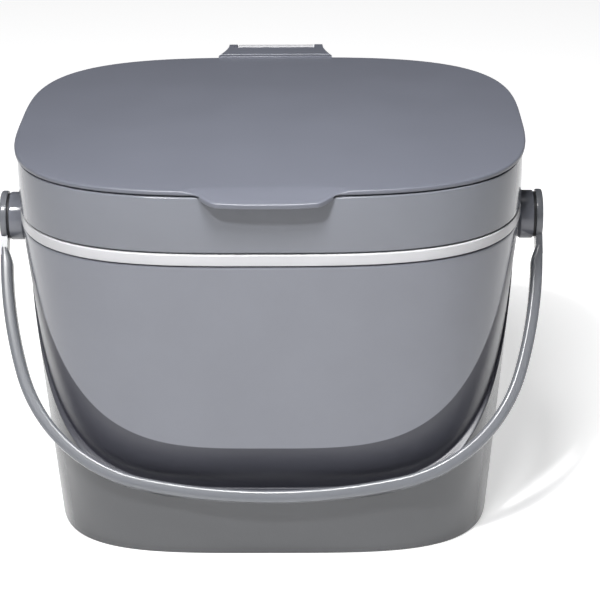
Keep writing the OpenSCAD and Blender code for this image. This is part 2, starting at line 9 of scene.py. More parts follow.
# %% Frame
import json
import math
import bmesh
import bpy
import numpy as np
from mathutils import Matrix, Vector
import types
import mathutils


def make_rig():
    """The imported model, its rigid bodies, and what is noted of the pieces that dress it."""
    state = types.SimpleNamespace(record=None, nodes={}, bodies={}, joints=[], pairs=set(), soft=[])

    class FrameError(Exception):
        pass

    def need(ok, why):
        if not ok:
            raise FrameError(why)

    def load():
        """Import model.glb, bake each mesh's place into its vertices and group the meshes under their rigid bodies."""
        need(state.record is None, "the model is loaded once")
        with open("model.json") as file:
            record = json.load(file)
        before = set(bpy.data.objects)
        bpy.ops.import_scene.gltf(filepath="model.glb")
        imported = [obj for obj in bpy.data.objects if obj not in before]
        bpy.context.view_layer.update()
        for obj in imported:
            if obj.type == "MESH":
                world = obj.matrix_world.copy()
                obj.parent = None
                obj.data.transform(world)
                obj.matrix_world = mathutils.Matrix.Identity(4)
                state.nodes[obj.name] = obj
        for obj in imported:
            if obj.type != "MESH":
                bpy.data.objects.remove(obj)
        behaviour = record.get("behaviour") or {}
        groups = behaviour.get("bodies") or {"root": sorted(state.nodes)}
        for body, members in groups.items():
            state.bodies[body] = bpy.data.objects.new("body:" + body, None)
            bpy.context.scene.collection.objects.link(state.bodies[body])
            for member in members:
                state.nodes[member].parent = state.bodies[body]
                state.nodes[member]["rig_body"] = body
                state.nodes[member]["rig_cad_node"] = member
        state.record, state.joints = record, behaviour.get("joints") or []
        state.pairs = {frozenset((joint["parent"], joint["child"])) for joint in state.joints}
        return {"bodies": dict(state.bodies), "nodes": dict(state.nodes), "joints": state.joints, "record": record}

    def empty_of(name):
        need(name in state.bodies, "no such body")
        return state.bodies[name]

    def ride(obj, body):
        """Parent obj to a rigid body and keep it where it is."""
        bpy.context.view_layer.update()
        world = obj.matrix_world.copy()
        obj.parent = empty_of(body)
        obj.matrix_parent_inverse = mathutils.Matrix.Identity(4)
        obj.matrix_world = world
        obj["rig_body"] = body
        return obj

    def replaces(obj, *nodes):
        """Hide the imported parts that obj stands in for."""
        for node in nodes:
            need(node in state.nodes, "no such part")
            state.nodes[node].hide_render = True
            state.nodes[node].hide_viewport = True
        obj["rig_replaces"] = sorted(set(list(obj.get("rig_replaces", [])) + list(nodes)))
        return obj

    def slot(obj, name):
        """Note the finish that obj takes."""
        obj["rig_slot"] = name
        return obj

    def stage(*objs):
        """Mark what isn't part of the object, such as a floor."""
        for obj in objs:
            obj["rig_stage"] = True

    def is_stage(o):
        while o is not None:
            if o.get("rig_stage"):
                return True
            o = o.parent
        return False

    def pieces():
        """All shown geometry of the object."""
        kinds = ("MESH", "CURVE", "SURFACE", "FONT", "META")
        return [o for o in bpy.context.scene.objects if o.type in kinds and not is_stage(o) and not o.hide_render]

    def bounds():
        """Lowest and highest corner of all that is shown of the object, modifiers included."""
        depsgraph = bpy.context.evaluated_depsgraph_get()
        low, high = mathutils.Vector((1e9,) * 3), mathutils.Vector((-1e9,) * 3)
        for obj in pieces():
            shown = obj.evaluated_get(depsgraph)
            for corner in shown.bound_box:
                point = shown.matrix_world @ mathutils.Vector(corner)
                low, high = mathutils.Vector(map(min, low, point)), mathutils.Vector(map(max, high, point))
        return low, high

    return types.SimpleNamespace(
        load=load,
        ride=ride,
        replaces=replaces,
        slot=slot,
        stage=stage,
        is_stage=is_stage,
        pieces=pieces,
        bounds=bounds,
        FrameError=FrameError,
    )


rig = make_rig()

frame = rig.load()
CAD_BOX = [list(corner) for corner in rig.bounds()]
MM = 0.001
print("frame box in metres:", [[round(v, 4) for v in corner] for corner in CAD_BOX])

# %% [markdown]
# ## The outline
# Seen from above, every large moulding is a squared oval: fuller than an ellipse, and rounder
# than a rectangle. It could be drawn as a curve and filled. A formula is used instead, because
# one line then gives a ring of any size, and its power says how boxy the ring is. The tub is
# boxier at its base than at its mouth, and it widens upwards so that it draws off the core.

# %% Outline
MOUTH_W, MOUTH_D = 187.4, 164.8
BASE_W, BASE_D = 168.0, 135.4
WALL_H = 122.8
SIDE_SLOPE = (MOUTH_W - BASE_W) / WALL_H / 2
FRONT_SLOPE = (MOUTH_D - BASE_D) / WALL_H / 2
SQUARE, BASE_SQUARE = 3.25, 3.8          # the power at the mouth and at the base


def half_w(z):
    return BASE_W / 2 + SIDE_SLOPE * z


def half_d(z):
    return BASE_D / 2 + FRONT_SLOPE * z


def square_at(z):
    return BASE_SQUARE + (SQUARE - BASE_SQUARE) * np.clip(z / WALL_H, 0, 1)


def oval_r(a, b, phi, square=SQUARE):
    """Distance from the middle to the squared oval with half sides a and b."""
    c = np.abs(np.cos(phi)) / a
    s = np.abs(np.sin(phi)) / b
    return (c ** square + s ** square) ** (-1.0 / square)


print("tub at its mouth:", round(2 * half_w(WALL_H), 1), "by", round(2 * half_d(WALL_H), 1), "mm")

# %% [markdown]
# ## Skins
# A moulding that goes all the way round is a grid: columns of points, each running along its
# section, set side by side. It could be lofted from curves, but a mesh made from the numbers
# comes out the same on each run and needs no clean-up. It is shaded smooth, and its real edges
# are marked sharp, so that flat faces stay flat beside them.

# %% Mesh helpers
def mesh_object(name, verts, faces, slot=None, body=None, stands_for=()):
    mesh = bpy.data.meshes.new(name)
    mesh.from_pydata(verts, [], faces)
    mesh.validate()
    mesh.update()
    for p in mesh.polygons:
        p.use_smooth = True
    obj = bpy.data.objects.new(name, mesh)
    bpy.context.scene.collection.objects.link(obj)
    if body:
        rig.ride(obj, body)
    if slot:
        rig.slot(obj, slot)
    if stands_for:
        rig.replaces(obj, *stands_for)
    return obj


def grid_object(name, points, wrap_rows=False, cap_low=None, cap_high=None, slot=None, body=None,
                stands_for=()):
    """A mesh from points[column][row]; columns run all the way round the piece."""
    pts = np.asarray(points, float)
    n, m = pts.shape[:2]
    verts = list(map(tuple, (pts.reshape(-1, 3) * MM)))
    faces = []
    last = m if wrap_rows else m - 1
    for i in range(n):
        k = (i + 1) % n
        for j in range(last):
            j2 = (j + 1) % m
            faces.append((i * m + j, k * m + j, k * m + j2, i * m + j2))
    for cap, row, flip in ((cap_low, 0, True), (cap_high, m - 1, False)):
        if cap is None:
            continue
        verts.append(tuple(np.asarray(cap, float) * MM))
        c = len(verts) - 1
        for i in range(n):
            k = (i + 1) % n
            tri = (c, i * m + row, k * m + row)
            faces.append(tri[::-1] if flip else tri)
    return mesh_object(name, verts, faces, slot, body, stands_for)


def fix_normals(obj):
    """Welds points that meet and turns every face outwards."""
    bm = bmesh.new()
    bm.from_mesh(obj.data)
    bmesh.ops.remove_doubles(bm, verts=bm.verts, dist=1e-7)
    bmesh.ops.recalc_face_normals(bm, faces=bm.faces)
    bm.to_mesh(obj.data)
    bm.free()
    obj.data.update()
    return obj


def sharpen(obj, degrees=50):
    """Marks the edges sharp at which the surface turns by more than this."""
    mesh = obj.data
    limit = math.cos(math.radians(degrees))
    normals = [p.normal.copy() for p in mesh.polygons]
    owners = {}
    for p in mesh.polygons:
        for key in p.edge_keys:
            owners.setdefault(key, []).append(p.index)
    for e in mesh.edges:
        pair = owners.get(e.key, [])
        e.use_edge_sharp = len(pair) == 2 and normals[pair[0]].dot(normals[pair[1]]) < limit
    return obj


def faces_of(*pieces):
    return sum(len(piece.data.polygons) for piece in pieces)


print("skins are welded and turned outwards, and their real edges kept sharp")

# %% [markdown]
# ## The moulded finish
# Each plastic is mixed from the same base: a faint cloudiness in the colour, a fine
# spark-eroded texture from the mould in the bump, and a gloss that wanders a little. Pictures
# of plastic could do this, but noise needs no unwrapping and shows no seams.

# %% Moulded finish
IOR = 1.5
CLOUD_SCALE, CLOUD_DETAIL = 38.0, 4.0
CLOUD_LOW, CLOUD_HIGH = 0.3, 0.7         # the noise seldom leaves this range
GLOSS_WANDER = 0.06
GRAINS_A_CELL, GRAIN_DETAIL, GRAIN_DEPTH = 3, 2.0, 0.0001
MIX_A, MIX_B, MIX_RESULT = 6, 7, 2       # a mix node's sockets for colours


def set_inputs(node, inputs):
    for key, value in inputs.items():
        node.inputs[key].default_value = value


def add_node(tree, kind, inputs=None, **settings):
    node = tree.nodes.new(kind)
    for key, value in settings.items():
        setattr(node, key, value)
    set_inputs(node, inputs or {})
    return node


def moulded(name, colour, rough, grain, grain_mm=0.35, spec=0.5, wander=0.06, metal=0.0):
    """A finish: grain is how strong its texture is, grain_mm how coarse, wander how cloudy."""
    mat = bpy.data.materials.new(name)
    mat.use_nodes = True
    tree, link = mat.node_tree, mat.node_tree.links.new
    bsdf = tree.nodes["Principled BSDF"]
    set_inputs(bsdf, {"IOR": IOR, "Specular IOR Level": spec, "Metallic": metal})
    place = add_node(tree, "ShaderNodeTexCoord")
    cloud = add_node(tree, "ShaderNodeTexNoise", {"Scale": CLOUD_SCALE, "Detail": CLOUD_DETAIL})
    darker = [c * (1 - wander) for c in colour]
    lighter = [min(1, c * (1 + wander)) for c in colour]
    tint = add_node(tree, "ShaderNodeMix", {MIX_A: (*darker, 1), MIX_B: (*lighter, 1)},
                    data_type="RGBA")
    gloss = add_node(tree, "ShaderNodeMapRange",
                     {"From Min": CLOUD_LOW, "From Max": CLOUD_HIGH,
                      "To Min": rough * (1 - GLOSS_WANDER), "To Max": rough * (1 + GLOSS_WANDER)})
    fine = add_node(tree, "ShaderNodeTexNoise",
                    {"Scale": 1000.0 / grain_mm / GRAINS_A_CELL, "Detail": GRAIN_DETAIL})
    bump = add_node(tree, "ShaderNodeBump", {"Strength": grain, "Distance": GRAIN_DEPTH})
    link(place.outputs["Object"], cloud.inputs["Vector"])
    link(cloud.outputs["Fac"], tint.inputs[0])
    link(tint.outputs[MIX_RESULT], bsdf.inputs["Base Color"])
    link(cloud.outputs["Fac"], gloss.inputs["Value"])
    link(gloss.outputs["Result"], bsdf.inputs["Roughness"])
    link(place.outputs["Object"], fine.inputs["Vector"])
    link(fine.outputs["Fac"], bump.inputs["Height"])
    link(bump.outputs["Normal"], bsdf.inputs["Normal"])
    return mat


print("a moulded finish mixes cloud, gloss and grain")

# %% [markdown]
# ## Plastics
# The tub's skirt and back have a coarser texture, which hides scratches where the caddy slides
# on the counter, and they are coloured darker as painted shade. The shield above the finger recess
# is smooth and glossy, and the recess is coloured darkest as painted shade. The lid is satin,
# because a glossy lid would show every finger. One plastic could do for all of these, but the eye
# tells a moulding's pieces apart by such small differences.

# %% Plastics
TUB = moulded("tub_plastic", (0.168, 0.175, 0.203), 0.16, grain=0.03)
# Painted shade: the skirt and back are coloured darker than the shield for the bail's shadow and the floor's contact
# shadow; their coarser grain is the moulding's own.
SKIRT_GRAIN_AND_SHADE = moulded("skirt_grain_and_shade", (0.07, 0.072, 0.077), 0.24, grain=0.3, grain_mm=0.22)
# Painted shade: the finger recess is coloured darkest in place of the shade in the hollow under the shield.
RECESS_SHADE = moulded("recess_painted_shade", (0.06, 0.061, 0.076), 0.3, grain=0.02, spec=0.3)
LID = moulded("lid_plastic", (0.112, 0.118, 0.143), 0.36, grain=0.10, grain_mm=0.3)
COLLAR = moulded("collar_plastic", (0.14, 0.147, 0.17), 0.14, grain=0.03, spec=0.6)
TRIM = moulded("trim_plastic", (0.45, 0.45, 0.465), 0.25, grain=0.03, wander=0.02)
BAIL = moulded("bail_plastic", (0.14, 0.146, 0.16), 0.22, grain=0.03)
RUBBER = moulded("soft_black", (0.016, 0.016, 0.018), 0.55, grain=0.2, grain_mm=0.5)
STEEL = moulded("pin_steel", (0.52, 0.53, 0.54), 0.3, grain=0.05, metal=1.0, wander=0.03)


def dress(obj, *finishes):
    obj.data.materials.clear()
    for mat in finishes:
        obj.data.materials.append(mat)
    return obj


def moulding(obj, mat, degrees=50):
    """A finished piece: faces outwards, its plastic on, and its real edges sharp."""
    return sharpen(dress(fix_normals(obj), mat), degrees)


print("finishes:", [mat.name for mat in
                    (TUB, SKIRT_GRAIN_AND_SHADE, RECESS_SHADE, LID, COLLAR, TRIM, BAIL, RUBBER, STEEL)])

# %% [markdown]
# ## The finger recess
# Fingers reach behind the bail through a hollow in the front half of the tub. Its upper crease
# lies in a plane that leans back, and below it the wall rolls in. Its ledge ends in a plane
# through the bail's pivot, so the bail comes to lie along the ledge. It could be cut out with a
# boolean, which leaves ragged edges in a curved wall. Here each column of the wall works out its
# own three heights, and steps inwards between them.

# %% Recess
PIVOT_Y, PIVOT_Z = -12.4, 116.2
LEDGE_TILT, CREASE_TILT = math.radians(32.5), math.radians(23.2)
LEDGE_SLOPE, CREASE_SLOPE = math.tan(LEDGE_TILT), math.tan(CREASE_TILT)
CREASE_Z = 47.5                          # at the middle of the front
CREASE_Y = half_d(CREASE_Z)
RECESS_DEPTH, LEDGE_RISE, LEDGE_RISE_MIN = 5.6, 2.2, 0.4
LIMIT = WALL_H - 2                       # no recess above this height
BAND = 4                                 # least height of the recess


def forwardness(phi, z):
    """0 at the sides and behind, 1 at the middle of the front."""
    if math.sin(phi) >= 0:
        return 0.0
    return -math.sin(phi) * float(oval_r(half_w(z), half_d(z), phi, square_at(z))) / half_d(z)


def ledge_z(s):
    return ((LEDGE_SLOPE * PIVOT_Z - PIVOT_Y - s * half_d(0))
            / (LEDGE_SLOPE + FRONT_SLOPE * s))


def crease_z(s):
    return ((CREASE_Y + CREASE_SLOPE * CREASE_Z - s * half_d(0))
            / (CREASE_SLOPE + FRONT_SLOPE * s))


def deep(s):
    """Depth above the ledge: full along the grip, less at the sides, none at the mouth."""
    left = (LIMIT - ledge_z(s)) / (LIMIT - ledge_z(1))
    return 0.0 if left <= 0 else RECESS_DEPTH * (0.3 + 0.7 * s ** 7) * left ** 0.9


def plan(phi):
    """Heights of the ledge's edge, deepest line and crease of one column, and its depth."""
    s = forwardness(phi, ledge_z(forwardness(phi, WALL_H / 3)))
    depth = deep(s)
    z0 = min(ledge_z(s), LIMIT - 2 * BAND)
    z1 = z0 + LEDGE_RISE_MIN + (LEDGE_RISE - LEDGE_RISE_MIN) * depth / RECESS_DEPTH
    z2 = max(z0 + BAND, min(crease_z(forwardness(phi, crease_z(s))), LIMIT - BAND))
    return z0, z1, z2, depth


def recess_at(p, z):
    """How far the wall steps in: along the ledge's slope, then back out up to the crease."""
    z0, z1, z2, depth = p
    t = np.clip((z2 - z) / (z2 - z1), 0, 1)
    rolled = t * (1.15 - 0.15 * t)
    return depth * np.where(z <= z1, np.clip((z - z0) / (z1 - z0), 0, 1), rolled)


front = plan(-math.pi / 2)
print("recess in front: ledge, deepest line and crease at", [round(z, 1) for z in front[:3]],
      "mm, depth", round(front[3], 1))

# %% [markdown]
# ## The tub's wall
# A mould maker rounds every crease with a small radius. The skin could be subdivided to round
# it, but that also pulls the flat parts out of shape. Instead the recess is averaged over a
# short height, and rows of the grid crowd together where the wall turns.

# %% Tub wall
WALL_T, FLOOR_T, FOOT_H, FOOT_W, FILLET, BASE_R = 2.8, 3.0, 1.0, 3.4, 14.0, 0.8
CREASE_OUT, CREASE_IN = 0.35, 1.2        # radii of the creases outside and inside
RIM_TOP, RIM_STEP = 126.15, 1.6
# Insets and heights of the rim, from the outside over the top to the inside.
RIM = [(0, 121.5), (0, 122.5), (0.15, 122.75), (0.4, WALL_H), (RIM_STEP, WALL_H),
       (RIM_STEP, RIM_TOP - 0.3), (1.9, RIM_TOP), (2.5, RIM_TOP), (WALL_T, RIM_TOP - 0.3),
       (WALL_T, WALL_H)]
# Shares of the average that rounds a crease.
SPREAD = np.linspace(-1, 1, 9)
WEIGHTS = (1 - SPREAD ** 2) + 0.15
WEIGHTS = WEIGHTS / WEIGHTS.sum()
# Rows close to the ledge's edge and to the crease, by their height above it.
AT_EDGE = np.array([-0.6, -0.4, -0.25, -0.12, 0])
AT_CREASE = np.array([-0.9, -0.6, -0.4, -0.25, -0.12, 0, 0.12, 0.25, 0.4, 0.6, 0.9])
FOOT_ROWS, LOW_ROWS, LEDGE_ROWS, ROLL_ROWS, HIGH_ROWS, RIM_ROWS = 12, 9, 12, 14, 12, 6
EDGE_ROW = FOOT_ROWS + LOW_ROWS + len(AT_EDGE) - 1
CREASE_ROW = EDGE_ROW + LEDGE_ROWS + ROLL_ROWS + 1 + len(AT_CREASE) // 2
RIM_ROW = CREASE_ROW + len(AT_CREASE) // 2 + HIGH_ROWS + RIM_ROWS


def soft_recess(p, z, radius):
    return sum(w * recess_at(p, z + radius * d) for d, w in zip(SPREAD, WEIGHTS))


def column_rows(p, start):
    """Heights of one column's rows, close together at the ledge's edge and at the crease."""
    z0, z1, z2 = p[:3]
    low = start + (z0 - 0.9 - start) * np.linspace(0, 1, LOW_ROWS)
    ledge = z0 + (min(z1 + 0.75, z2 - 1.6) - z0) * np.linspace(0, 1, LEDGE_ROWS + 1)[1:]
    roll_in = ledge[-1] + (z2 - 1.1 - ledge[-1]) * np.linspace(0, 1, ROLL_ROWS + 1)[1:]
    high = z2 + 1.1 + (LIMIT - z2 - 1.1) * np.linspace(0, 1, HIGH_ROWS)
    return np.concatenate([low, z0 + AT_EDGE, ledge, roll_in, z2 + AT_CREASE, high])


def quarter(n):
    """The angles of a quarter turn in n steps."""
    return [math.pi / 2 * k / n for k in range(n + 1)]


def tub_column(phi):
    """One column: under the foot, up the outside, over the rim and down to the floor inside."""
    p = plan(phi)
    foot_in, floor_z = BASE_R + FOOT_W, FOOT_H + FLOOR_T
    steps = [(foot_in, FOOT_H), (foot_in, 0.3), (foot_in - 0.3, 0.0)]
    steps += [(BASE_R * (1 - math.sin(a)), BASE_R * (1 - math.cos(a))) for a in quarter(8)]
    z = column_rows(p, BASE_R + 0.3)
    steps += list(zip(soft_recess(p, z, CREASE_OUT), z))
    steps += RIM
    z = column_rows(p, floor_z + FILLET)[::-1]
    steps += list(zip(WALL_T + soft_recess(p, z, CREASE_IN), z))
    steps += [(WALL_T + FILLET * (1 - math.cos(a)), floor_z + FILLET * (1 - math.sin(a)))
              for a in quarter(10)[1:]]
    inset, z = np.array(steps).T
    r = oval_r(half_w(z) - inset, half_d(z) - inset, phi, square_at(z))
    return np.stack([r * math.cos(phi), r * math.sin(phi), z], 1)


print("rows of a column:", len(tub_column(0)))

# %% [markdown]
# ## The tub
# The tub is injection moulded in one shot, with a coarser texture on its skirt and back, and
# painted shade on them and darker still in the recess. These could be split by a painted mask. They
# are given to whole faces instead, because the grid's rows already follow the ledge and the crease.

# %% Tub
TUB_COLUMNS = 360
SMOOTH_PART, RECESS_SHADE_PART, SKIRT_SHADE_PART = 0, 1, 2
FADED = 0.02                             # a recess no deeper than this has faded out


def build_tub():
    cols = [tub_column(2 * math.pi * i / TUB_COLUMNS) for i in range(TUB_COLUMNS)]
    obj = grid_object("tub", cols, cap_low=(0, 0, FOOT_H), cap_high=(0, 0, FOOT_H + FLOOR_T),
                      slot="body_plastic", body="bucket_body", stands_for=("bucket",))
    dress(obj, TUB, RECESS_SHADE, SKIRT_GRAIN_AND_SHADE)
    rows = len(cols[0]) - 1
    for i in range(TUB_COLUMNS):
        sunk = plan(2 * math.pi * (i + 0.5) / TUB_COLUMNS)[3] > FADED
        for j in range(RIM_ROW):
            part = SMOOTH_PART
            # faces below the ledge's edge, and the whole back and sides, take the skirt's grain and painted shade
            if not sunk or j < EDGE_ROW:
                part = SKIRT_SHADE_PART
            # faces between the ledge's edge and the crease take the recess's painted shade
            elif j < CREASE_ROW:
                part = RECESS_SHADE_PART
            obj.data.polygons[i * rows + j].material_index = part
    return obj


tub = sharpen(fix_normals(build_tub()), 40)
print("tub:", faces_of(tub), "faces")

# %% [markdown]
# ## The trim ring
# A pale band snaps over the tub's rim and hides the parting line. On the real caddy it is
# moulded apart because it has its own colour. It could be a curve with a bevel, but its section
# isn't round, so a section of insets and heights is carried round the squared oval.

# %% Trim ring
CORNER_STEPS, CORNER_SHARE = 5, 0.45     # no corner takes more than this share of a side
RING_A, RING_B = 94.0, 82.7
RING_LOW, RING_TOP, RING_T = 123.3, 127.5, 1.3
GRIP_LOW, GRIP_TOP, GRIP_IN, GRIP_OUT = 120.2, 126.2, 5.618, 4.318


def rounded(path, radii):
    """A closed polyline with soft corners; radii has one value a corner."""
    out = []
    count = len(path)
    for i, (p, r) in enumerate(zip(path, radii)):
        p = np.array(p, float)
        a = np.array(path[i - 1], float) - p
        b = np.array(path[(i + 1) % count], float) - p
        la, lb = np.linalg.norm(a), np.linalg.norm(b)
        if r <= 0:
            out.append(p)
            continue
        a, b = a / la, b / lb
        angle = math.acos(max(-1, min(1, float(a @ b))))
        cut = min(r / math.tan(angle / 2), CORNER_SHARE * la, CORNER_SHARE * lb)
        start, end = p + a * cut, p + b * cut
        for k in range(CORNER_STEPS + 1):
            t = k / CORNER_STEPS
            out.append((1 - t) ** 2 * start + 2 * t * (1 - t) * p + t ** 2 * end)
    return np.array(out)


def banded(name, a, b, path, count=288, closed=True, **kw):
    """A section of (inset, height) carried round the squared oval with half sides a and b."""
    phi = np.linspace(0, 2 * math.pi, count, endpoint=False)
    pts = np.zeros((count, len(path), 3))
    for j, (inset, z) in enumerate(path):
        r = oval_r(a - inset, b - inset, phi)
        pts[:, j, 0] = r * np.cos(phi)
        pts[:, j, 1] = r * np.sin(phi)
        pts[:, j, 2] = z
    return grid_object(name, pts, wrap_rows=closed, **kw)


ring_path = rounded(
    [(0, RING_LOW), (0, RING_TOP), (GRIP_IN, RING_TOP), (GRIP_IN, GRIP_LOW),
     (GRIP_OUT, GRIP_LOW), (GRIP_OUT, GRIP_TOP), (RING_T, GRIP_TOP), (RING_T, RING_LOW)],
    [0.5, 0.6, 0.3, 0.3, 0.3, 0.2, 0.2, 0.3])
ring = moulding(banded("trim_band", RING_A, RING_B, ring_path, slot="trim_plastic",
                       body="bucket_body", stands_for=("trim_ring",)), TRIM)
print("trim ring:", faces_of(ring), "faces")

# %% [markdown]
# ## The lid frame
# The frame drops into the tub's mouth. A plug wall centres it, a soft ring holds it, and a
# shelf inside carries the lid's seal. The whole lid lifts off with it to empty the tub. Frame
# and ring are carried round as the trim ring is, because they share its outline.

# %% Lid frame and its seal
FRAME_A, FRAME_B, FRAME_T = 94.1, 82.3, 2.2
FOOT_LOW, FOOT_IN = 127.55, 0.9
FRAME_LOW, FRAME_TOP, SHELF_LOW, SHELF_TOP = 128.1, 148.5, 139.7, 141.7
PLUG_LOW, PLUG_OUT, PLUG_IN = 111.9, 6.718, 8.718
PLUG_RING_LOW, PLUG_RING_TOP, PLUG_RING_OUT, PLUG_RING_IN = 122.5, 124.9, 5.93, 6.71

frame_path = rounded(
    [(FOOT_IN, FOOT_LOW), (FOOT_IN, FRAME_LOW), (0, FRAME_LOW), (0, FRAME_TOP),
     (FRAME_T, FRAME_TOP), (FRAME_T, SHELF_TOP), (PLUG_IN, SHELF_TOP), (PLUG_IN, PLUG_LOW),
     (PLUG_OUT, PLUG_LOW), (PLUG_OUT, SHELF_LOW), (FRAME_T, SHELF_LOW), (FRAME_T, FOOT_LOW)],
    [0.1, 0.05, 0.45, 0.5, 0.5, 0.6, 0.6, 0.7, 0.7, 0.6, 0.6, 0.2])
collar = moulding(banded("lid_collar", FRAME_A, FRAME_B, frame_path, slot="frame_plastic",
                         body="frame_body", stands_for=("lid_frame",)), COLLAR)
plug_ring_path = rounded(
    [(PLUG_RING_OUT, PLUG_RING_LOW), (PLUG_RING_OUT, PLUG_RING_TOP),
     (PLUG_RING_IN, PLUG_RING_TOP), (PLUG_RING_IN, PLUG_RING_LOW)],
    [0.35, 0.35, 0.1, 0.1])
plug_ring = dress(fix_normals(banded("plug_ring", FRAME_A, FRAME_B, plug_ring_path,
                                     slot="soft_seal", body="frame_body",
                                     stands_for=("frame_seal",))), RUBBER)
print("lid frame and its seal:", faces_of(collar, plug_ring), "faces")

# %% [markdown]
# ## The finger tab
# The lid ends in a tab in front, whose shoulders flow out of the edge. It could be a second
# piece joined on, but a seam would show in the crown. So the tab is part of the lid's outline:
# ahead of the middle, the lid's edge is the farther of the squared oval and the tab.

# %% Finger tab
LID_A, LID_B = 95.0, 81.7
TAB_ROOT, TAB_TIP = 26.5, 17.0           # half widths at the lid's edge and in front
TAB_FRONT, TAB_BOW = 88.0, 0.8
ROOT_Y = LID_B * (1 - (TAB_ROOT / LID_A) ** SQUARE) ** (1 / SQUARE)


def ease(t):
    t = np.clip(t, 0, 1)
    return t * t * (3 - 2 * t)


def tab_outline():
    """From the tab's root along its shoulder and its bowed front to the middle."""
    pts = []
    for t in np.linspace(0, 1, 60):
        x = TAB_ROOT - (TAB_ROOT - TAB_TIP) * t
        pts.append((x, ROOT_Y + (TAB_FRONT - TAB_BOW - ROOT_Y) * ease(t)))
    for t in np.linspace(0.05, 1, 20):
        x = TAB_TIP * (1 - t)
        pts.append((x, TAB_FRONT - TAB_BOW * (x / TAB_TIP) ** 2.5))
    return np.array(pts)


TAB_PTS = tab_outline()
TAB_AWAY = np.arctan2(TAB_PTS[:, 0], TAB_PTS[:, 1])      # angle from straight ahead
TAB_RAD = np.hypot(TAB_PTS[:, 0], TAB_PTS[:, 1])


def lid_radius(phi):
    base = float(oval_r(LID_A, LID_B, phi))
    away = abs(math.atan2(math.cos(phi), -math.sin(phi)))
    if away >= TAB_AWAY[0]:
        return base
    return float(max(base, np.interp(away, TAB_AWAY[::-1], TAB_RAD[::-1])))


print("tab's front is", round(lid_radius(-math.pi / 2) - LID_B, 1), "mm ahead of the lid's edge")

# %% [markdown]
# ## The lid's surfaces
# Water runs off a faint crown, and the tab's top slopes down to a square front. Below, the lid
# is flat, and the tab has a thicker lip ahead of the frame. Both surfaces could be sculpted,
# but heights as functions of the place keep them even from edge to edge.

# %% Lid surfaces
LID_LOW, LID_TOP, CROWN = 149.1, 150.8, 1.5
EDGE_FLAT = 0.9                          # the crown starts this far in from the edge
TAB_DROP, DROP_BACK, DROP_END, TAB_BLEND = 2.2, 3.4, 0.9, 3
LIP_START, LIP_RAMP = 82.9, 0.25
LIP_T, LIP_EXTRA, LIP_FROM, LIP_END = 1.4, 1.2, 83.1, 0.3


def slope_down(y):
    """How far the tab's top lies below the lid's edge, by distance ahead of the middle."""
    ahead = -y - (LID_B - DROP_BACK)
    return TAB_DROP * np.clip(ahead / (TAB_FRONT - DROP_END - LID_B + DROP_BACK), 0, 1.1)


def lid_top(x, y):
    rho = np.hypot(x, y) / oval_r(LID_A, LID_B, np.arctan2(y, x))
    t = np.clip(((1 - rho) * LID_B - EDGE_FLAT) / (LID_B - EDGE_FLAT), 0, 1)
    z = LID_TOP + CROWN * np.sin(math.pi / 2 * t)
    inside = np.clip((TAB_ROOT + TAB_BLEND - np.abs(x)) / TAB_BLEND, 0, 1)
    return z - slope_down(y) * inside


def lid_under(x, y):
    ahead = np.clip((-y - LIP_START) / LIP_RAMP, 0, 1)
    share = np.clip((-y - LIP_FROM) / (TAB_FRONT - LIP_END - LIP_FROM), 0, 1)
    return LID_LOW - ahead * (LIP_T + LIP_EXTRA * share)


print("lid's thickness at the middle:", round(float(lid_top(0, -1e-9) - lid_under(0, 0)), 1), "mm")

# %% [markdown]
# ## The flip lid
# The lid is one moulding with a rounded edge. Its columns run from the middle of the underside
# out to the edge, round it, and back to the middle of the top. They stand closer together round
# the tab. A remesh could even the faces out, but it would soften the tab's corners.

# %% Flip lid
LID_COLUMNS, TAB_COLUMNS, TAB_REACH = 240, 181, 0.42
UNDER_FROM_MIDDLE = (3, 20, 45)
UNDER_FROM_EDGE = (14, 8.0, 6.5, 5.6, 5.3, 5.05, 4.85, 4.6, 3.5, 2.0, 0.8, 0.3)
TOP_FROM_EDGE = (1.6, 2.6, 4.0, 5.5, 7.0, 9.0, *np.linspace(12, 80, 18))
EVEN_FROM = 12                           # rows farther in are spread evenly to the middle
EDGE_R, EDGE_R_LOW, EDGE_LEAN, EDGE_SETBACK = 0.6, 0.25, 1.4, 0.08


def lid_column(phi):
    big = lid_radius(phi)
    base = float(oval_r(LID_A, LID_B, phi))
    c, s = math.cos(phi), math.sin(phi)
    col = []

    def add(inset, z):
        col.append((c * (big - inset), s * (big - inset), z))

    def height(surface, inset):
        return float(surface(c * (big - inset), s * (big - inset)))

    for inset in (*(big - d for d in UNDER_FROM_MIDDLE), *UNDER_FROM_EDGE):
        add(inset, height(lid_under, inset) if inset < big - 0.1 * base else LID_LOW)
    edge_low, edge_top = height(lid_under, 0.0), height(lid_top, 0.0)
    r = min(EDGE_R, (edge_top - edge_low) * 0.35)
    for t in quarter(4):
        add(EDGE_SETBACK + EDGE_R_LOW * (1 - math.sin(t)),
            edge_low + EDGE_R_LOW * (1 - math.cos(t)))
    for t in quarter(6):
        add(r * EDGE_LEAN * (1 - math.cos(t)), edge_top - r + r * math.sin(t))
    for d in TOP_FROM_EDGE:
        inset = d if d < EVEN_FROM else 9 + (big - 12) * (d - 9) / 75
        add(inset, height(lid_top, inset))
    return col


def build_lid():
    angles = [2 * math.pi * i / LID_COLUMNS for i in range(LID_COLUMNS)]
    angles += [(-math.pi / 2 + a) % (2 * math.pi)
               for a in np.linspace(-TAB_REACH, TAB_REACH, TAB_COLUMNS)]
    cols = [lid_column(phi) for phi in sorted(set(round(a, 6) for a in angles))]
    return grid_object("flip_lid_shell", cols, cap_low=(0, 0, LID_LOW),
                       cap_high=(0, 0, LID_TOP + CROWN), slot="lid_plastic", body="lid_body",
                       stands_for=("flip_lid",))


lid = moulding(build_lid(), LID)
print("flip lid:", faces_of(lid), "faces")

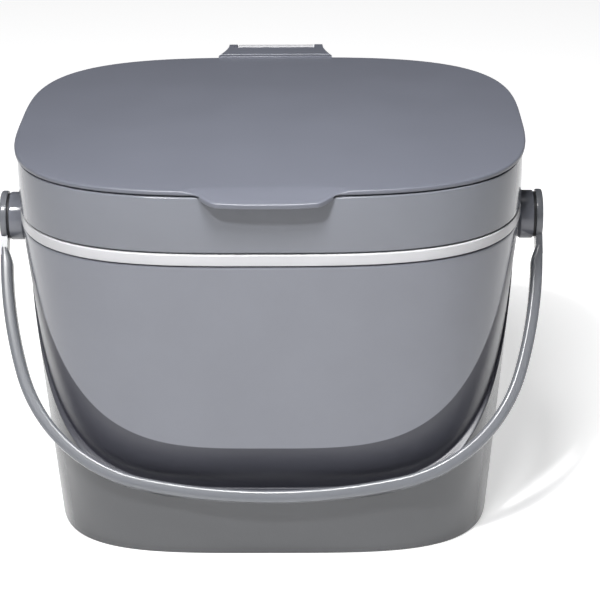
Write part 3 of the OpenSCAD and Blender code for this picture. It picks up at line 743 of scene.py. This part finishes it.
# %% [markdown]
# ## Under the lid
# A liner panel stiffens the lid and carries a soft seal, which sits on the frame's shelf and
# keeps smells in. The liner is a pan, so its section runs in to the middle at both ends and is
# closed there by a fan of faces. It could be left out while the lid is shut, but it shows as
# soon as the lid swings up.

# %% Liner and lid seal
LINER_TOP, LINER_LOW, LINER_FOOT = 149.05, 147.05, 143.8
LINER_OUT, LINER_IN = 3.2, 5.2
SEAL_LOW, SEAL_GROOVE = 142.0, 142.5

liner_path = rounded(
    [(LINER_OUT, LINER_TOP), (LINER_OUT, LINER_FOOT), (LINER_IN, LINER_FOOT),
     (LINER_IN, LINER_LOW), (30, LINER_LOW)], [0.1, 0.4, 0.4, 0.8, 0])[:-1]
liner_path = np.concatenate([[(60, LINER_TOP), (20, LINER_TOP)], liner_path,
                             [(20, LINER_LOW), (60, LINER_LOW)]])
liner = moulding(banded("liner_panel", FRAME_A, FRAME_B, liner_path, count=240, closed=False,
                        cap_low=(0, 0, LINER_TOP), cap_high=(0, 0, LINER_LOW),
                        slot="body_plastic", body="lid_body", stands_for=("lid_liner",)), LID)
seal_path = rounded(
    [(3.3, SEAL_LOW), (3.3, LINER_FOOT), (6.5, LINER_FOOT), (6.5, SEAL_LOW), (5.4, SEAL_LOW),
     (5.1, SEAL_GROOVE), (4.6, SEAL_GROOVE), (4.3, SEAL_LOW)],
    [0.3, 0.1, 0.1, 0.4, 0.3, 0.2, 0.2, 0.3])
lip_seal = dress(fix_normals(banded("lip_seal", FRAME_A, FRAME_B, seal_path, slot="soft_seal",
                                    body="lid_body", stands_for=("lid_seal",))), RUBBER)
print("liner and seal:", faces_of(liner, lip_seal), "faces")

# %% [markdown]
# ## The bail's line
# The bail is one bar bent in one plane: a shallow arc for the hand, two tighter corners, and
# two long legs that end in round plates. It could follow a Bezier curve, but three arcs that
# meet smoothly are what a bender or a mould maker draws. The line is drawn as if the bail hung
# straight down from its pivot, and then it is leaned forward on to the ledge.

# %% Bail's line
REACH, BAIL_W, BAIL_T = 107.9, 4.4, 7.6
CORNER_R, LEG_R = 60.0, 166.0
GRIP_A, CORNER_A = math.radians(12), math.radians(73)    # headings where the arcs meet
PLATE_IN, PLATE_OUT, PLATE_R = 100.0, 102.6, 9.6
LEG_X = PLATE_OUT - BAIL_W / 2
GRIP_R = (LEG_X - CORNER_R * (math.sin(CORNER_A) - math.sin(GRIP_A))
          - LEG_R * (1 - math.sin(CORNER_A))) / math.sin(GRIP_A)
LEG_START = (REACH - GRIP_R * (1 - math.cos(GRIP_A))
             - CORNER_R * (math.cos(GRIP_A) - math.cos(CORNER_A)) - LEG_R * math.cos(CORNER_A))
GRIP_Z = -REACH + GRIP_R
CORNER_X = (GRIP_R - CORNER_R) * math.sin(GRIP_A)
CORNER_CZ = GRIP_Z - (GRIP_R - CORNER_R) * math.cos(GRIP_A)
LEG_CX = CORNER_X - (LEG_R - CORNER_R) * math.sin(CORNER_A)
LEG_CZ = CORNER_CZ + (LEG_R - CORNER_R) * math.cos(CORNER_A)
REST_GAP = 0.35                          # between the resting bail and the ledge
REST_R = (PIVOT_Z - plan(-math.pi / 4)[0]) / math.cos(LEDGE_TILT)
REST = LEDGE_TILT + math.asin((BAIL_T / 2 + REST_GAP) / REST_R)


def bail_point(h, u):
    """The point at heading h, u outside the line."""
    if h <= GRIP_A:
        return (GRIP_R + u) * math.sin(h), GRIP_Z - (GRIP_R + u) * math.cos(h)
    if h <= CORNER_A:
        return CORNER_X + (CORNER_R + u) * math.sin(h), CORNER_CZ - (CORNER_R + u) * math.cos(h)
    return LEG_CX + (LEG_R + u) * math.sin(h), LEG_CZ - (LEG_R + u) * math.cos(h)


def lean(p):
    """From the hanging bail to where it rests on the ledge."""
    x, y, z = p
    c, s = math.cos(-REST), math.sin(-REST)
    return x, PIVOT_Y + y * c - z * s, PIVOT_Z + y * s + z * c


print("bail rests", round(math.degrees(REST), 1), "degrees forward of straight down")

# %% [markdown]
# ## The bail
# The bar has a rounded section that thins to the plates' thickness at the top of each leg. It
# could be a bevelled curve, but a bevel keeps one section all along. So sections are set up
# along the line and skinned. A short neck fills the step between each leg and its plate.

# %% Bail
SECTION_STEPS, SECTION_R, THINS_OVER = 7, 1.4, 5
LEG_BENDS, CORNER_BENDS, GRIP_BENDS = 26, 46, 16
NECK_HALF, NECK_LAP, NECK_SKIN = 3.5, 3, 0.05
PINHOLE = 0.01                           # so small that the plate looks closed
SIDES = ((1, "right"), (-1, "left"))


def bail_section(h):
    fall = -bail_point(abs(h), 0)[1] - LEG_START
    thin = LEG_X - PLATE_IN + (PLATE_IN - LEG_X + BAIL_W / 2) * fall / THINS_OVER
    thin = min(BAIL_W / 2, thin)
    r = min(SECTION_R, (thin + BAIL_W / 2) / 2 - 0.1)
    out = []
    for q in range(4):
        for k in range(SECTION_STEPS):
            a = math.radians(90 - 90 * q - 90 * k / (SECTION_STEPS - 1))
            u0 = BAIL_W / 2 - r if q < 2 else r - thin
            v0 = BAIL_T / 2 - r if q in (0, 3) else r - BAIL_T / 2
            out.append((u0 + r * math.cos(a), v0 + r * math.sin(a)))
    return out


def build_band():
    half = [math.pi / 2 - (math.pi / 2 - CORNER_A) * i / LEG_BENDS for i in range(LEG_BENDS)]
    half += [CORNER_A - (CORNER_A - GRIP_A) * i / CORNER_BENDS for i in range(CORNER_BENDS)]
    half += [GRIP_A - GRIP_A * i / GRIP_BENDS for i in range(GRIP_BENDS)]
    sections = []
    for h in half + [0.0] + [-h for h in half[::-1]]:
        section = []
        for u, v in bail_section(h):
            x, z = bail_point(abs(h), u)
            section.append(lean((-x if h < 0 else x, v, z)))
        sections.append(section)
    ends = [lean((LEG_X * side, 0, -LEG_START)) for side, tag in SIDES]
    return fix_normals(grid_object("bail_band", np.array(sections).transpose(1, 0, 2),
                                   cap_low=ends[0], cap_high=ends[1]))


def turned(name, side, centre, path, radii, closed=True, **kw):
    """A section of (x, radius) turned round an axis along X, on the right or left side."""
    section = rounded(path, radii)
    section[:, 0] *= side
    theta = np.linspace(0, 2 * math.pi, 96, endpoint=False)
    pts = np.zeros((len(theta), len(section), 3))
    for j, (x, r) in enumerate(section):
        pts[:, j, 0] = x
        pts[:, j, 1] = centre[0] + r * np.cos(theta)
        pts[:, j, 2] = centre[1] + r * np.sin(theta)
    return fix_normals(grid_object(name, pts, wrap_rows=closed, **kw))


def bail_neck(side, tag):
    corners = [lean((side * x, y, z)) for x in (PLATE_IN + NECK_SKIN, PLATE_OUT - NECK_SKIN)
               for y in (-NECK_HALF, NECK_HALF) for z in (-LEG_START - NECK_LAP, -PLATE_R / 2)]
    verts = [tuple(np.array(v) * MM) for v in corners]
    faces = [(0, 1, 3, 2), (4, 6, 7, 5), (0, 4, 5, 1), (2, 3, 7, 6), (0, 2, 6, 4), (1, 5, 7, 3)]
    return fix_normals(mesh_object("bail_neck_" + tag, verts, faces))


def join(name, parts):
    bpy.ops.object.select_all(action="DESELECT")
    for p in parts:
        p.select_set(True)
    bpy.context.view_layer.objects.active = parts[0]
    bpy.ops.object.join()
    parts[0].name = name
    parts[0].data.name = name
    return parts[0]


bail_parts = [build_band()]
for side, tag in SIDES:
    bail_parts.append(turned(
        "bail_plate_" + tag, side, (PIVOT_Y, PIVOT_Z),
        [(PLATE_IN, PINHOLE), (PLATE_IN, PLATE_R), (PLATE_OUT, PLATE_R), (PLATE_OUT, PINHOLE)],
        [0, 0.4, 0.9, 0], closed=False))
    bail_parts.append(bail_neck(side, tag))
bail = join("bail_handle", bail_parts)
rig.ride(bail, "bail_body")
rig.slot(bail, "bail_plastic")
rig.replaces(bail, "bail")
sharpen(dress(bail, BAIL), 40)
print("bail:", faces_of(bail), "faces")

# %% [markdown]
# ## Pivots
# Each end of the bail turns on a hub on the tub's side. A thin black washer keeps the two
# plastics from squeaking, and a headed pin goes through from inside. Hub and washer could be
# plain cylinders, but their turned sections catch the light along soft edges.

# %% Pivot hubs and washers
HUB_ROOT, HUB_NECK, WASHER_IN, WASHER_OUT = 93.3, 94.3, 99.15, 99.95
BORE_R, HUB_ROOT_R, HUB_R, WASHER_R = 3.05, 8.4, 9.2, 8.6

for side, tag in SIDES:
    hub = turned(
        "hub_" + tag, side, (PIVOT_Y, PIVOT_Z),
        [(HUB_ROOT, BORE_R), (HUB_ROOT, HUB_ROOT_R), (HUB_NECK, HUB_R), (WASHER_IN, HUB_R),
         (WASHER_IN, BORE_R)], [0, 0.2, 0.3, 0.5, 0],
        slot="body_plastic", body="bucket_body", stands_for=("pivot_hub_" + tag,))
    sharpen(dress(hub, TUB))
    washer = turned(
        "washer_" + tag, side, (PIVOT_Y, PIVOT_Z),
        [(WASHER_IN, BORE_R), (WASHER_IN, WASHER_R), (WASHER_OUT, WASHER_R),
         (WASHER_OUT, BORE_R)], [0, 0.2, 0.2, 0],
        slot="soft_seal", body="bucket_body", stands_for=("pivot_washer_" + tag,))
    sharpen(dress(washer, RUBBER))
    print(tag, "hub and washer:", faces_of(hub, washer), "faces")

# %% [markdown]
# ## Plates for the hinge housing
# The housing is a shallow cap behind the lid, narrower towards its back and notched for the
# bracket's middle barrel. Its plates could be cubes with a bevel modifier, but their outlines
# have too many corners. So an outline is raised into a slab, and its top edge is rounded over.

# %% Housing plates
HINGE_Y, HINGE_Z, BARREL_R, HINGE_BORE_R = 98.0, 147.5, 3.7, 1.55
ARM_IN, ARM_OUT = 16.1, 19.7
HOUSING_W, HOUSING_TAPER = 23.5, 3.8     # half its width in front, and how much it narrows
SLAB_STEPS = 5
LIP_CORNER = 0.7 * 0.3                   # cut off the lip's two front corners


def slab(name, outline, z0, z1, r):
    """An upright plate with a rounded top edge; the outline runs anticlockwise."""
    pts = np.array(outline, float)
    onward = np.roll(pts, -1, 0) - pts
    arriving = pts - np.roll(pts, 1, 0)
    onward /= np.linalg.norm(onward, axis=1)[:, None]
    arriving /= np.linalg.norm(arriving, axis=1)[:, None]
    n1 = np.stack([-onward[:, 1], onward[:, 0]], 1)
    n0 = np.stack([-arriving[:, 1], arriving[:, 0]], 1)
    inwards = (n0 + n1) / (1 + (n0 * n1).sum(1))[:, None]
    rings = [(0, z0)] + [(r * (1 - math.cos(t)), z1 - r + r * math.sin(t))
                         for t in quarter(SLAB_STEPS)]
    verts = [(p[0] * MM, p[1] * MM, z * MM) for inset, z in rings for p in pts + inwards * inset]
    faces = []
    n = len(pts)
    for k in range(len(rings) - 1):
        for i in range(n):
            j = (i + 1) % n
            faces.append((k * n + i, k * n + j, (k + 1) * n + j, (k + 1) * n + i))
    faces.append(tuple(range((len(rings) - 1) * n, len(rings) * n)))
    faces.append(tuple(range(n))[::-1])
    return sharpen(fix_normals(mesh_object(name, verts, faces)), 30)


def housing_half(y):
    t = max(0.0, min(1.0, (y - LID_B) / (HINGE_Y - LID_B)))
    return HOUSING_W - HOUSING_TAPER * math.sin(math.pi / 2 * t)


def lip_outline(y0, y1):
    right = [(housing_half(y), y) for y in np.linspace(y0, y1, 14)]
    right[0] = (right[0][0] - LIP_CORNER, y0 + 0.02)
    return right + [(-x, y) for x, y in right[::-1]]


def notched(y0, y_notch, y1):
    right = [(housing_half(y), y) for y in np.linspace(y0, y1, 12)]
    left = [(-x, y) for x, y in right[::-1]]
    return right + [(ARM_IN, y1), (ARM_IN, y_notch), (-ARM_IN, y_notch), (-ARM_IN, y1)] + left


print("housing narrows from", 2 * HOUSING_W, "to", round(2 * housing_half(HINGE_Y), 1), "mm")

# %% [markdown]
# ## The hinge housing
# The cap is screwed to the lid's tongue from below. It has a lip along the lid's edge, a
# groove behind it, and a barrel each side of the bracket's middle barrel. Its slabs and barrels
# lap into each other and are joined as one piece, because no seam between them would show.

# %% Hinge housing
HOUSING_LOW, HOUSING_STEP, HOUSING_TOP = 150.3, 151.2, 151.6
BASE_FRONT, HOUSING_BACK, BASE_NOTCH, PLATE_NOTCH = 80.3, 98.1, 93.75, 93.7
LIP_FRONT, GROOVE_FRONT, GROOVE_BACK = 80.1, 82.75, 83.35
LIP_LOW = HOUSING_LOW + 0.02             # clear of the base, so that no two faces coincide
ARM_FRONT, ARM_TOP, ARM_SKIN = 93.35, 151.0, 0.03

housing_parts = [
    slab("housing_base", notched(BASE_FRONT, BASE_NOTCH, HOUSING_BACK), HOUSING_LOW,
         HOUSING_STEP, 0.2),
    slab("housing_lip", lip_outline(LIP_FRONT, GROOVE_FRONT), LIP_LOW, HOUSING_TOP, 0.45),
    slab("housing_plate", notched(GROOVE_BACK, PLATE_NOTCH, HOUSING_BACK), LIP_LOW,
         HOUSING_TOP, 0.45),
]
for side, tag in SIDES:
    barrel = turned(
        "housing_barrel", side, (HINGE_Y, HINGE_Z),
        [(ARM_IN, HINGE_BORE_R), (ARM_IN, BARREL_R), (ARM_OUT, BARREL_R),
         (ARM_OUT, HINGE_BORE_R)], [0.1, 0.2, 0.5, 0.1])
    x0, x1 = sorted((ARM_IN * side, ARM_OUT * side))
    x0, x1 = x0 + ARM_SKIN, x1 - ARM_SKIN
    arm = [(x0, ARM_FRONT), (x1, ARM_FRONT), (x1, HINGE_Y), (x0, HINGE_Y)]
    housing_parts += [sharpen(barrel), slab("housing_arm", arm, HINGE_Z, ARM_TOP, 0.1)]
housing = join("hinge_cap", housing_parts)
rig.ride(housing, "lid_body")
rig.slot(housing, "lid_plastic")
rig.replaces(housing, "hinge_housing")
dress(housing, LID)
print("hinge housing:", faces_of(housing), "faces")

# %% [markdown]
# ## Carried-over pieces
# The bracket, the pins and the screws are small and mostly hidden. They could be drawn again
# too, but their solids are already right, so they only need their finish.

# %% Carried-over pieces
CARRIED = {"hinge_bracket": TRIM, "hinge_pin": STEEL, "housing_screws": STEEL,
           "bracket_screws": STEEL, "pivot_pin_left": STEEL, "pivot_pin_right": STEEL}
for name, mat in CARRIED.items():
    dress(frame["nodes"][name], mat)
print("carried over:", list(CARRIED))

# %% [markdown]
# ## The floor
# The caddy stands on a white sweep. A brighter lamp could make it white, but it would wash out
# the plastics. Instead the floor glows a little for the camera, so that only the shadow shows,
# and for reflections, so that the glossy walls mirror a bright counter.

# %% Floor
FLOOR_HALF = 4.0                         # metres
FLOOR_WHITE, FLOOR_ROUGH = 0.9, 0.9
FLOOR_LIFT, FLOOR_SHINE = 0.58, 0.65     # glow seen by the camera, and in reflections

floor_mesh = bpy.data.meshes.new("sweep_floor")
floor_mesh.from_pydata([(-FLOOR_HALF, -FLOOR_HALF, 0), (FLOOR_HALF, -FLOOR_HALF, 0),
                        (FLOOR_HALF, FLOOR_HALF, 0), (-FLOOR_HALF, FLOOR_HALF, 0)],
                       [], [(0, 1, 2, 3)])
floor = bpy.data.objects.new("sweep_floor", floor_mesh)
bpy.context.scene.collection.objects.link(floor)
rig.stage(floor)
white = bpy.data.materials.new("sweep_white")
white.use_nodes = True
tree, link = white.node_tree, white.node_tree.links.new
sweep = tree.nodes["Principled BSDF"]
set_inputs(sweep, {"Base Color": (FLOOR_WHITE, FLOOR_WHITE, FLOOR_WHITE, 1),
                   "Roughness": FLOOR_ROUGH, "Specular IOR Level": 0.0})
glow = add_node(tree, "ShaderNodeEmission", {"Color": (1, 1, 1, 1)})
seen = add_node(tree, "ShaderNodeLightPath")
lift = add_node(tree, "ShaderNodeMath", {1: FLOOR_LIFT}, operation="MULTIPLY")
shine = add_node(tree, "ShaderNodeMath", {1: FLOOR_SHINE}, operation="MULTIPLY_ADD")
both = add_node(tree, "ShaderNodeAddShader")
link(seen.outputs["Is Camera Ray"], lift.inputs[0])
link(seen.outputs["Is Glossy Ray"], shine.inputs[0])
link(lift.outputs[0], shine.inputs[2])
link(shine.outputs[0], glow.inputs["Strength"])
link(sweep.outputs[0], both.inputs[0])
link(glow.outputs[0], both.inputs[1])
link(both.outputs[0], tree.nodes["Material Output"].inputs["Surface"])
dress(floor, white)
print("floor:", 2 * FLOOR_HALF, "m square")

# %% [markdown]
# ## The room
# A studio's walls fill the shadows. An even white room could do that, but the glossy plastics
# would lose their depth. So the room is darker up high, and fades to the right and to the back,
# away from the lamps. The camera itself sees plain white behind the caddy.

# %% Room
ROOM_LOW, ROOM_HIGH, DARK_FROM = 0.24, 0.1, 0.7
COOL_LOW, COOL_HIGH = 1.02, 1.04         # a touch more blue than red
SIDE_FADE, BACK_FADE = (1.2, 0.4), (1.2, 0.35)

world = bpy.data.worlds.new("studio")
bpy.context.scene.world = world
world.use_nodes = True
tree, link = world.node_tree, world.node_tree.links.new
backdrop = tree.nodes["Background"]
set_inputs(backdrop, {"Color": (1, 1, 1, 1)})
ray = add_node(tree, "ShaderNodeLightPath")
direction = add_node(tree, "ShaderNodeTexCoord")
split = add_node(tree, "ShaderNodeSeparateXYZ")
link(direction.outputs["Generated"], split.inputs[0])
ramp = add_node(tree, "ShaderNodeValToRGB")
link(split.outputs["Z"], ramp.inputs["Fac"])
low_end, high_end = ramp.color_ramp.elements
low_end.position, low_end.color = 0.0, (ROOM_LOW, ROOM_LOW, ROOM_LOW * COOL_LOW, 1)
high_end.position = DARK_FROM
high_end.color = (ROOM_HIGH, ROOM_HIGH, ROOM_HIGH * COOL_HIGH, 1)
room = add_node(tree, "ShaderNodeBackground")
link(ramp.outputs["Color"], room.inputs["Color"])


def fade(axis, first, last):
    """A share of the room's light that changes evenly from -axis to +axis."""
    out = add_node(tree, "ShaderNodeMapRange",
                   {"From Min": -1.0, "To Min": first, "To Max": last})
    link(split.outputs[axis], out.inputs["Value"])
    return out.outputs["Result"]


share = add_node(tree, "ShaderNodeMath", operation="MULTIPLY")
link(fade("X", *SIDE_FADE), share.inputs[0])
link(fade("Y", *BACK_FADE), share.inputs[1])
link(share.outputs[0], room.inputs["Strength"])
pick = add_node(tree, "ShaderNodeMixShader")
link(ray.outputs["Is Camera Ray"], pick.inputs[0])
link(room.outputs[0], pick.inputs[1])
link(backdrop.outputs[0], pick.inputs[2])
link(pick.outputs[0], tree.nodes["World Output"].inputs["Surface"])
print("room: light from", ROOM_LOW, "at the floor to", ROOM_HIGH, "up high")

# %% [markdown]
# ## The lamps
# The key lamp stands high at the front left, so the shadow falls back and to the right. It is
# small, because a large one would blur the shadow away. A broad lamp hangs overhead, and a
# small one close over the front brightens the lid's front and the frame.

# %% Lamps
KEY_WATTS, OVERHEAD_WATTS, FRONT_WATTS = 17.5, 1.0, 2.2
KEY_FAR, KEY_AIM_Z = 1.6, 0.05
KEY_FROM = (-0.25 * KEY_FAR, -0.56 * KEY_FAR, 0.79 * KEY_FAR + KEY_AIM_Z)


def soft_light(name, at, aim, w, h, watts):
    data = bpy.data.lights.new(name, "AREA")
    data.shape = "RECTANGLE"
    data.size, data.size_y = w, h
    data.energy = watts
    obj = bpy.data.objects.new(name, data)
    obj.location = at
    obj.rotation_euler = (Vector(aim) - Vector(at)).to_track_quat("-Z", "Y").to_euler()
    bpy.context.scene.collection.objects.link(obj)


soft_light("key", KEY_FROM, (0, 0, KEY_AIM_Z), 0.1, 0.1, KEY_WATTS)
soft_light("overhead", (0.0, 0.0, 1.5), (0, 0, 0.1), 0.5, 0.4, OVERHEAD_WATTS)
soft_light("front_fill", (0.0, -0.2, 0.46), (0, -0.06, 0.15), 0.14, 0.1, FRONT_WATTS)
print("lamps:", KEY_WATTS, OVERHEAD_WATTS, FRONT_WATTS, "watts")

# %% [markdown]
# ## The camera
# The camera looks down on the caddy from the front, a little rolled, as a hand-set tripod is.
# Its place could be found by eye. It was fitted to the lid's outline, the trim, the base and
# the pivots instead, because the proportions of everything else hang on it.

# %% Camera
CAMERA_AT = (19.2959335, -762.426200, 398.645267)
PITCH, YAW, ROLL = 0.400760702, 0.0116088883, -0.00763133117
FOCAL_PX, PICTURE_PX, SENSOR = 2101.68926, 600, 36.0

camera_data = bpy.data.cameras.new("photo_camera")
camera = bpy.data.objects.new("photo_camera", camera_data)
bpy.context.scene.collection.objects.link(camera)
ahead = Vector((-math.sin(YAW) * math.cos(PITCH), math.cos(YAW) * math.cos(PITCH),
                -math.sin(PITCH)))
level_right = Vector((math.cos(YAW), math.sin(YAW), 0))
level_up = level_right.cross(ahead)
right = level_right * math.cos(ROLL) + level_up * math.sin(ROLL)
up = level_up * math.cos(ROLL) - level_right * math.sin(ROLL)
turn = Matrix((right, up, -ahead)).transposed()
camera.matrix_world = Matrix.Translation(Vector(CAMERA_AT) * MM) @ turn.to_4x4()
camera_data.sensor_width = SENSOR
camera_data.sensor_fit = "HORIZONTAL"
camera_data.lens = FOCAL_PX / PICTURE_PX * SENSOR
bpy.context.scene.camera = camera
bpy.context.scene.view_settings.view_transform = "Standard"
print("camera:", round(camera_data.lens, 1), "mm lens")

# %% [markdown]
# ## Extents
# The dressed caddy is measured, and its box is written beside that of the imported solids.
# A skin that stood proud of its solid would tell a wrong size, so both boxes are kept.

# %% Finish
json.dump({"cad": CAD_BOX, "visual": [list(corner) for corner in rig.bounds()]},
          open("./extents.json", "w"))
print("size:", open("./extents.json").read())
